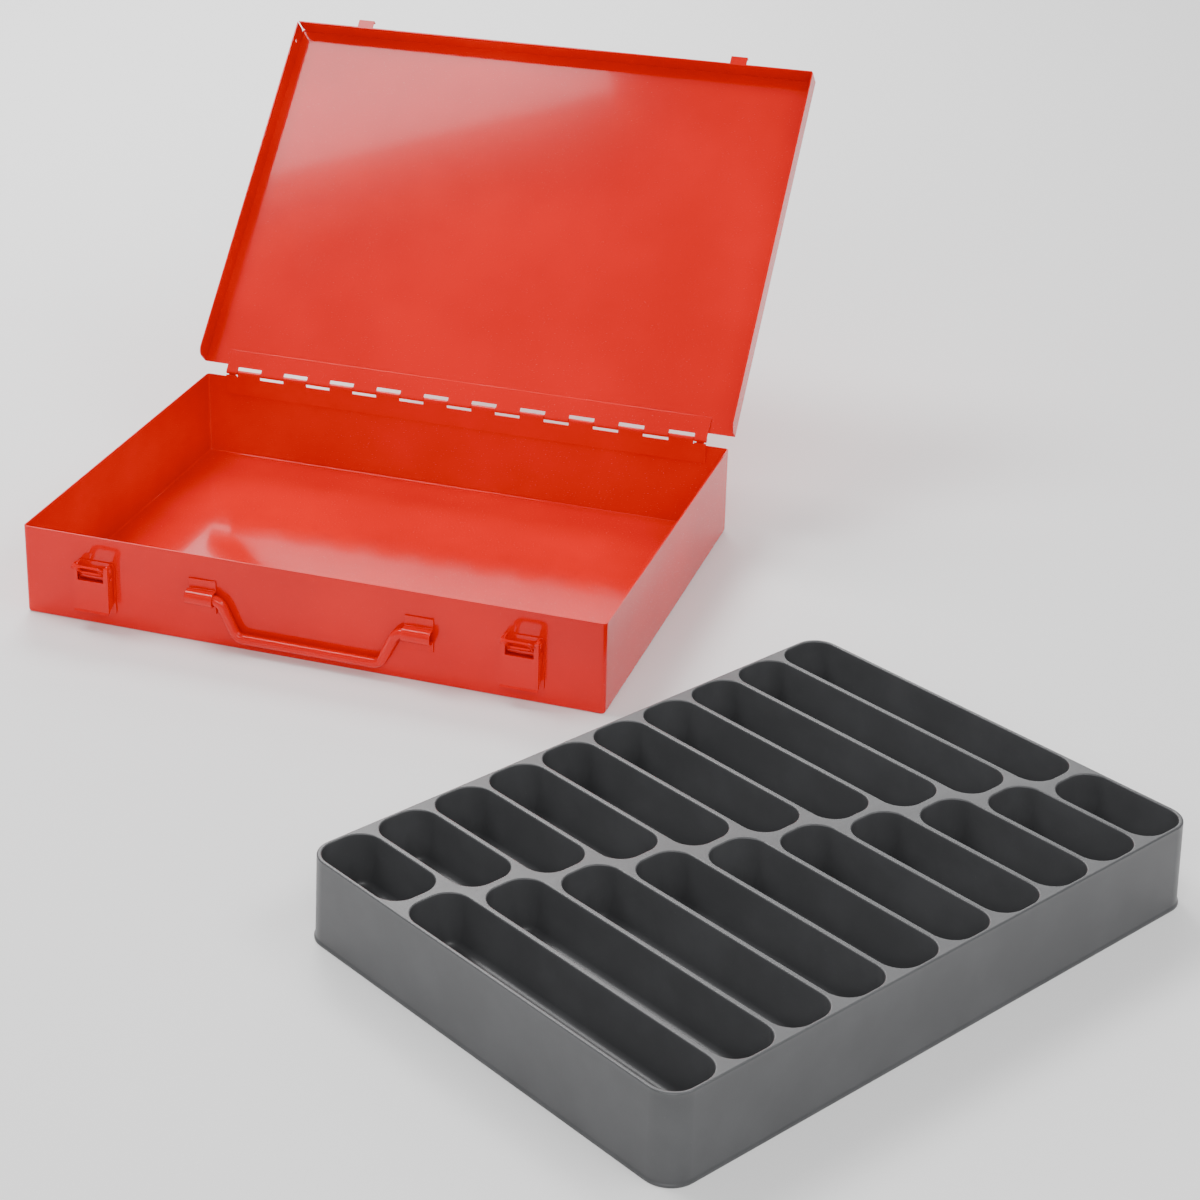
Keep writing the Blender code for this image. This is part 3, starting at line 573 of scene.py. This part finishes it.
class HandleSettings(bpy.types.PropertyGroup):
    bend: FloatProperty(name="Bend", description="Radius of the bail's bends", default=0.0085,
                        unit="LENGTH")
    segments: IntProperty(name="Bend steps", description="Steps in each bend", default=14, min=3,
                          max=40)


class TraySettings(bpy.types.PropertyGroup):
    colour: FloatVectorProperty(name="Plastic colour", description="Colour of the tray's sheet",
                                subtype="COLOR", size=3, min=0, max=1,
                                default=(0.062, 0.063, 0.066))
    wall: FloatProperty(name="Wall", description="Thickness of the sheet", default=0.0012,
                        unit="LENGTH")
    mouth: FloatProperty(name="Mouth edge", description="Radius of each pocket's upper edge",
                         default=0.0010, unit="LENGTH")
    floor_edge: FloatProperty(name="Floor edge", description="Radius of each pocket's floor edge",
                              default=0.0045, unit="LENGTH")
    columns: IntProperty(name="Columns", description="Pockets in one row", default=10, min=2,
                         max=20)


def settings(name):
    return getattr(bpy.context.scene, "assortment_" + name)


def case_paint(name="gloss_red_paint", **more):
    paint = settings("paint")
    return material(name, red_paint, tuple(paint.colour), paint.roughness, **more)


# ---------------------------------------------------------------- operators

class CASE_OT_stage(bpy.types.Operator):
    """Adds the pale floor, the soft lights and the camera"""
    bl_idname = "assortment.stage"
    bl_label = "Stage"

    def execute(self, context):
        bm = bmesh.new()
        block(bm, (-7, -7, -0.02), (7, 7, 0.0))
        floor = mesh_object("floor", bm)
        floor.data.materials.append(material("pale_floor", plain_floor, (0.93, 0.93, 0.93)))
        world = bpy.data.worlds.new("studio")
        world.use_nodes = True
        background = world.node_tree.nodes["Background"]
        background.inputs["Color"].default_value = (1, 1, 1, 1)
        background.inputs["Strength"].default_value = WORLD_STRENGTH
        context.scene.world = world
        for name, where, turn, size, power in LIGHTS:
            data = bpy.data.lights.new(name, "AREA")
            data.shape = "RECTANGLE"
            data.size, data.size_y = size
            data.energy = power
            lamp = new_object(name, data)
            lamp.location = where
            lamp.rotation_euler = [math.radians(angle) for angle in turn]
        lens = bpy.data.cameras.new("camera")
        lens.lens = CAMERA_LENS
        lens.sensor_width = CAMERA_SENSOR
        lens.shift_x, lens.shift_y = CAMERA_SHIFT
        lens.clip_start = 0.05
        camera = new_object("camera", lens)
        azimuth, elevation = math.radians(CAMERA_AZIMUTH), math.radians(CAMERA_ELEVATION)
        back = Vector((math.sin(azimuth) * math.cos(elevation),
                       -math.cos(azimuth) * math.cos(elevation), math.sin(elevation)))
        camera.location = CAMERA_PLACE
        camera.rotation_euler = (-back).to_track_quat("-Z", "Y").to_euler()
        context.scene.camera = camera
        return {"FINISHED"}


class CASE_OT_pan(bpy.types.Operator):
    """Builds the case's folded pan"""
    bl_idname = "assortment.pan"
    bl_label = "Case pan"

    def execute(self, context):
        size = settings("case")
        half = CASE_HIGH
        sheet, lip = size.sheet, size.sheet * 0.22
        bm = bmesh.new()
        rings = []

        def ring(inset, z):
            corner = max(0.0004, size.corner - inset)
            outline = centred_outline(half.x - inset, half.y - inset, corner, 6)
            rings.append(new_ring(bm, outline, z))

        for i in range(7):
            angle = math.radians(15 * i)
            ring(size.bend * (1 - math.sin(angle)), size.bend * (1 - math.cos(angle)))
        for inset, drop in ((0.0, lip), (lip * 0.3, lip * 0.3), (lip, 0.0),
                            (sheet - lip, 0.0), (sheet - lip * 0.3, lip * 0.3), (sheet, lip)):
            ring(inset, half.z - drop)
        inner = size.bend - sheet
        for i in reversed(range(7)):
            angle = math.radians(15 * i)
            ring(sheet + inner * (1 - math.sin(angle)), sheet + inner * (1 - math.cos(angle)))
        join_rings(bm, rings)
        bm.faces.new(rings[0])
        bm.faces.new(rings[-1])
        pan = mesh_object("case_pan", bm)
        even_shading(pan, 50)
        paint = case_paint("gloss_red_paint_seamed", seams=True)
        finish_piece(pan, "case", "painted_steel", paint, "base_pan")
        return {"FINISHED"}


class CASE_OT_lid(bpy.types.Operator):
    """Builds the lid's pan with its flanges, strike tabs and corner cuts"""
    bl_idname = "assortment.lid"
    bl_label = "Lid"

    def execute(self, context):
        lid = from_cad("lid_pan", True)
        lid.name = "lid_shell"
        soften(lid, settings("case").deburr, 2, 40)
        finish_piece(lid, "lid", "painted_steel", case_paint(), "lid_pan")
        return {"FINISHED"}


class CASE_OT_hinge(bpy.types.Operator):
    """Builds the piano hinge: two leaves, each with a row of rolled knuckles, and the pin"""
    bl_idname = "assortment.hinge"
    bl_label = "Piano hinge"

    def execute(self, context):
        size = settings("hinge")
        paint = case_paint("red_paint_on_hinge", peel=1.6)
        tree = row_tree()
        half, pitch = size.length / 2, size.pitch
        shorts = [(-half, -half + pitch / 2), (half - pitch / 2, half)]
        for node, body, first, short, past, turn in (
                ("base_hinge_leaf", "case", 0.5, [], LEAF_NOTCH, UP_THE_WALL),
                ("lid_hinge_leaf", "lid", 1.5, shorts, LEAF_WINDOW, LID_OPEN_TURN)):
            count = round((size.length / pitch - 2 * first + 1) / 2)
            whole = [(-half + (first + 2 * i) * pitch, -half + (first + 2 * i + 1) * pitch)
                     for i in range(count)]
            row = self.knuckle(size, *whole[0])
            grow(row, tree, {"Count": count, "Pitch": (2 * pitch, 0, 0), "Finish": paint})
            pieces = [row, self.strip(size, sorted(whole + short), size.radius + past)]
            for span in short:
                pieces += [self.knuckle(size, *span), self.heel(size, span)]
            leaf = join_pieces(node + "_finished", pieces, Matrix.Translation(HINGE_AT) @ turn)
            even_shading(leaf)
            finish_piece(leaf, body, "painted_steel", paint, node)
        pin = from_cad("hinge_pin")
        soften(pin, 0.0001, 1, 40)
        finish_piece(pin, "case", "painted_steel", paint, "hinge_pin")
        return {"FINISHED"}

    def strip(self, size, spans, cut):
        """A leaf's flat strip, with a strap up to each knuckle and a cut-out between two straps."""
        half, low, gap = size.length / 2, -size.radius, size.gap
        points = [(-half, -size.width)]
        starts_short, ends_short = spans[0][0] > -half + gap, spans[-1][1] < half - gap
        if starts_short:
            start = spans[0][0] - gap
            points += [(-half, -STOP_RISE), (start, -STOP_RISE), (start, -cut)]
        for start, end in spans:
            inside_left, inside_right = start > -half + gap, end < half - gap
            left, right = start + gap / 2 * inside_left, end - gap / 2 * inside_right
            points += [(left, -cut)] * inside_left
            points += [(left, -size.leaf / 4), (right, -size.leaf / 4)]
            points += [(right, -cut)] * inside_right
        if ends_short:
            end = spans[-1][1] + gap
            points += [(end, -cut), (end, -STOP_RISE), (half, -STOP_RISE)]
        points.append((half, -size.width))
        bm = bmesh.new()
        prism(bm, points, "Z", low, low + size.leaf)
        strip = mesh_object("leaf_strip", bm)
        soften(strip, size.edge, 3, 40)
        return strip

    def knuckle(self, size, start, end):
        """One knuckle: the strap's end, rolled round the pin."""
        outer, inner = size.radius - CURL_STEP, size.radius - size.leaf + CURL_STEP
        points = [(-size.leaf, -inner), (-size.leaf, -outer)]
        points += arc((0, 0), outer, -90, CURL_SWEEP, 24)
        points += arc((0, 0), inner, -90 + CURL_SWEEP, -CURL_SWEEP, 24)
        inset = size.gap / 2 + CURL_STEP
        bm = bmesh.new()
        prism(bm, points, "X", start + inset, end - inset)
        return mesh_object("knuckle", bm)

    def heel(self, size, span):
        """The heel under an end knuckle that stops the lid, drawn as it is with the lid open."""
        face = size.leaf - size.radius + FIT_GAP
        back = face + HEEL_WIDTH
        outline = [(face, -HEEL_DROP), (back, -HEEL_DROP), (back, -size.radius * 0.85),
                   (face, -size.radius * 0.7)]
        bm = bmesh.new()
        prism(bm, outline, "X", span[0] + size.pitch / 10, span[1] - size.pitch / 10)
        bm.transform(LID_OPEN_TURN.inverted())
        return mesh_object("heel", bm)


class CASE_OT_latches(bpy.types.Operator):
    """Builds both draw latches: each one's base, lever, claw pin and claw"""
    bl_idname = "assortment.latches"
    bl_label = "Draw latches"

    def execute(self, context):
        paint = case_paint("red_paint_on_latches", peel=1.5)
        for label in SIDES:
            prefix = "latch_" + label
            for part, body in (("_base", "case"), ("_lever", label + "_lever"),
                               ("_claw_pin", label + "_lever"), ("_claw", label + "_claw")):
                piece = from_cad(prefix + part)
                soften(piece, 0.00018, 2, 35)
                finish_piece(piece, body, "painted_steel", paint, prefix + part)
        return {"FINISHED"}


class CASE_OT_rivets(bpy.types.Operator):
    """Sets the domed rivets of both latches"""
    bl_idname = "assortment.rivets"
    bl_label = "Rivets"

    def execute(self, context):
        tree = rivet_tree()
        paint = case_paint("red_paint_on_latches", peel=1.5)
        for label in SIDES:
            prefix = "latch_" + label
            for kind in ("wall", "pivot"):
                for number in (1, 2):
                    node = "%s_%s_rivet_%d" % (prefix, kind, number)
                    low, high = (Vector(corner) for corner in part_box(node))
                    middle = (low + high) / 2
                    spread = high - low
                    if kind == "wall":
                        aim, height = Vector((0, -1, 0)), WALL_HEAD
                        length, radius = spread.y, spread.x / 2
                    else:
                        aim, height = Vector((1 if number == 2 else -1, 0, 0)), PIVOT_HEAD
                        length, radius = spread.x, spread.y / 2
                    seat = middle + aim * (length / 2 - height)
                    piece = aimed_points(node + "_finished", [(seat, aim)])
                    grow(piece, tree, {"Head radius": radius, "Head height": height,
                                       "Shank radius": radius * 0.55,
                                       "Shank length": length - height * 1.1, "Finish": paint})
                    even_shading(piece, 40)
                    finish_piece(piece, "case", "painted_steel", paint, node)
        return {"FINISHED"}


class CASE_OT_handle(bpy.types.Operator):
    """Bends the bail handle and sets its two saddle brackets"""
    bl_idname = "assortment.handle"
    bl_label = "Handle"

    def execute(self, context):
        paint = case_paint("red_paint_on_handle", peel=1.3)
        at, _ = joint("handle_swing")
        low, high = (Vector(corner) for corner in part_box("handle_bail"))
        radius = (high.y - low.y) / 2
        drop = at.z - (low.z + radius)
        half = (high.x - low.x) / 2
        left_bracket, right_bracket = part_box("handle_bracket_left"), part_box("handle_bracket_right")
        span = (right_bracket[0].x - left_bracket[1].x) / 2 - BRACKET_END_GAP
        grip = span - BAIL_SPLAY
        corners = [(-half, 0), (-span, 0), (-grip, -drop), (grip, -drop), (span, 0), (half, 0)]
        mesh = bpy.data.meshes.new("bail_handle")
        mesh.from_pydata([(at.x + x, at.y, at.z + z) for x, z in corners],
                         [(i, i + 1) for i in range(len(corners) - 1)], [])
        bail = new_object("bail_handle", mesh)
        size = settings("handle")
        grow(bail, wire_tree(), {"Wire radius": radius, "Bend radius": size.bend,
                                 "Bend steps": size.segments, "Finish": paint})
        even_shading(bail, 50)
        finish_piece(bail, "handle", "painted_steel", paint, "handle_bail")
        for label in SIDES:
            node = "handle_bracket_" + label
            piece = from_cad(node, True)
            soften(piece, 0.0003, 2, 25, 50)
            finish_piece(piece, "case", "painted_steel", paint, node)
        return {"FINISHED"}


class CASE_OT_tray(bpy.types.Operator):
    """Forms the compartment tray"""
    bl_idname = "assortment.tray"
    bl_label = "Compartment tray"

    def execute(self, context):
        size = settings("tray")
        low, high = (Vector(corner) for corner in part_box("compartment_tray"))
        inset = settings("case").sheet + TRAY_CLEARANCE + TRAY_LIP
        foot = (CASE_HIGH.x - inset, CASE_HIGH.y - inset)
        deck = (foot[0] - TRAY_DRAFT, foot[1] - TRAY_DRAFT)
        tray = self.shape(size, foot, deck, high.z)
        centre = (low + high) / 2
        turn = Matrix.Rotation(self.turn_of_tray(foot, high - low), 4, "Z")
        tray.data.transform(Matrix.Translation((centre.x, centre.y, 0)) @ turn)
        plastic = material("anthracite_tray_plastic", tray_plastic, tuple(size.colour))
        finish_piece(tray, "tray", "tray_plastic", plastic, "compartment_tray")
        return {"FINISHED"}

    def turn_of_tray(self, foot, spread):
        """The turn about Z at which a tray of this size fills the CAD tray's box."""
        radius = TRAY_CORNER + TRAY_LIP
        a, b = foot[0] + TRAY_LIP - radius, foot[1] + TRAY_LIP - radius

        def miss(hundredths):
            cosine = math.cos(math.radians(hundredths / 100))
            sine = math.sin(math.radians(hundredths / 100))
            return (abs(a * cosine + b * sine + radius - spread.x / 2)
                    + abs(a * sine + b * cosine + radius - spread.y / 2))

        return math.radians(min(range(3000, 8000), key=miss) / 100)

    def shape(self, size, foot, deck, top):
        """The whole tray: its skirt and lip, the pockets, and the same sheet seen from below."""
        bm = bmesh.new()
        wall, count = size.wall, size.columns

        def skirt(half, grow_by, z):
            return new_ring(bm, centred_outline(half[0] + grow_by, half[1] + grow_by,
                                                TRAY_CORNER + grow_by, CORNER_STEPS), z)

        def between(z):
            share = (top - z) / top
            return tuple(d + (f - d) * share for d, f in zip(deck, foot))

        outside = [skirt(deck, -TRAY_EDGE * (1 - math.sin(math.radians(a))),
                         top - TRAY_EDGE * (1 - math.cos(math.radians(a))))
                   for a in (0, 15, 30, 45, 60, 75, 90)]
        outside += [skirt(between(z), 0.0, z) for z in (top * 0.75, top * 0.5, top * 0.25)]
        outside += [skirt(foot, TRAY_LIP * share, z) for share, z in LIP_PROFILE]
        inside_top = skirt(deck, -wall - TRAY_EDGE * 0.4, top - wall)
        outside += [skirt(foot, -wall, 0.0), skirt(between(top * 0.5), -wall, top * 0.5),
                    inside_top]
        join_rings(bm, outside)
        floor = top - POCKET_DEPTH
        width = (2 * (deck[0] - TRAY_RIM) - (count - 1) * RIDGE) / count
        run = 2 * (deck[1] - TRAY_RIM) - DIVIDER
        step = (run - 2 * SHORTEST_POCKET) / (count - 1)
        front, back = -deck[1] + TRAY_RIM, deck[1] - TRAY_RIM
        mouths, unders = [], []
        for column in range(count):
            left = -deck[0] + TRAY_RIM + column * (width + RIDGE)
            split = back - SHORTEST_POCKET - column * step
            for box in (((left, split), (left + width, back)),
                        ((left, front), (left + width, split - DIVIDER))):
                mouths.append(self.pocket(bm, box, top, floor, size.mouth, size.floor_edge))
                unders.append(self.underside(bm, box, top - wall, floor - wall, wall))
        self.fill(bm, outside[0], mouths, False)
        self.fill(bm, inside_top, unders, True)
        tray = mesh_object("tray_shell", bm)
        need(tray)
        even_shading(tray, 40)
        return tray

    def pocket(self, bm, box, top, floor, mouth, floor_edge):
        """One pocket: rolled upper edge, drafted walls, round floor edge. Returns its deck ring."""
        (x0, y0), (x1, y1) = box
        depth = top - floor
        profile = []
        for a in (0, 18, 36, 54, 72, 90):
            angle = math.radians(a)
            profile.append((-mouth + mouth * math.sin(angle), mouth * (1 - math.cos(angle))))
        for share in (0.35, 0.65):
            profile.append((POCKET_DRAFT * share, depth * share))
        for a in (0, 15, 30, 45, 60, 75, 90):
            angle = math.radians(a)
            profile.append((POCKET_DRAFT + floor_edge * (1 - math.cos(angle)),
                            depth - floor_edge * (1 - math.sin(angle))))
        rings = []
        for inset, drop in profile:
            share = min(1.0, max(0.0, drop / depth))
            tighter = POCKET_TAPER * share + max(0.0, inset - POCKET_DRAFT) * 0.9
            radius = max(LEAST_CORNER, POCKET_CORNER - tighter)
            if inset < 0:
                radius = POCKET_CORNER - inset
            outline = round_outline((x0 + inset, y0 + inset), (x1 - inset, y1 - inset), radius,
                                    CORNER_STEPS)
            rings.append(new_ring(bm, outline, top - drop))
        join_rings(bm, rings)
        bm.faces.new(rings[-1])
        return rings[0]

    def underside(self, bm, box, top, floor, wall):
        """The same pocket seen from below. Returns its ring in the deck's underside."""
        (x0, y0), (x1, y1) = box
        rings = []
        for inset, radius, z in ((-wall, POCKET_CORNER + wall, top),
                                 (POCKET_DRAFT - wall, 0.0075 + wall, floor + 0.003),
                                 (0.0036 - wall, 0.0060, floor)):
            outline = round_outline((x0 + inset, y0 + inset), (x1 - inset, y1 - inset), radius,
                                    CORNER_STEPS)
            rings.append(new_ring(bm, outline, z))
        join_rings(bm, rings)
        bm.faces.new(rings[-1])
        return rings[0]

    def fill(self, bm, outer, holes, flip):
        """Fills the flat area between an outer ring and the rings of the pockets."""
        rings = [outer] + holes
        loops = [[vertex.co.copy() for vertex in ring] for ring in rings]
        vertices = [vertex for ring in rings for vertex in ring]
        for triangle in geometry.tessellate_polygon(loops):
            corners = [vertices[i] for i in triangle]
            bm.faces.new(corners[::-1] if flip else corners)


class CASE_PT_panel(bpy.types.Panel):
    """Lists the sizes, colours and steps of the case"""
    bl_idname = "CASE_PT_panel"
    bl_label = "Assortment case"
    bl_space_type = "VIEW_3D"
    bl_region_type = "UI"
    bl_category = "Case"

    def draw(self, context):
        for name, kind in SETTINGS:
            column = self.layout.box().column()
            for key in kind.__annotations__:
                column.prop(settings(name), key)
        for step in STEPS:
            self.layout.operator(step.bl_idname)


SETTINGS = (("paint", PaintSettings), ("case", CaseSettings), ("hinge", HingeSettings),
            ("handle", HandleSettings), ("tray", TraySettings))
STEPS = (CASE_OT_stage, CASE_OT_pan, CASE_OT_lid, CASE_OT_hinge, CASE_OT_latches, CASE_OT_rivets,
         CASE_OT_handle, CASE_OT_tray)


def register():
    for name, kind in SETTINGS:
        bpy.utils.register_class(kind)
        setattr(bpy.types.Scene, "assortment_" + name, PointerProperty(type=kind))
    for kind in STEPS + (CASE_PT_panel,):
        bpy.utils.register_class(kind)


def unregister():
    for kind in reversed(STEPS + (CASE_PT_panel,)):
        bpy.utils.unregister_class(kind)
    for name, kind in reversed(SETTINGS):
        delattr(bpy.types.Scene, "assortment_" + name)
        bpy.utils.unregister_class(kind)


def main():
    register()
    for step in STEPS:
        group, name = step.bl_idname.split(".")
        getattr(getattr(bpy.ops, group), name)()
    bpy.context.view_layer.update()


if __name__ == "__main__":
    main()
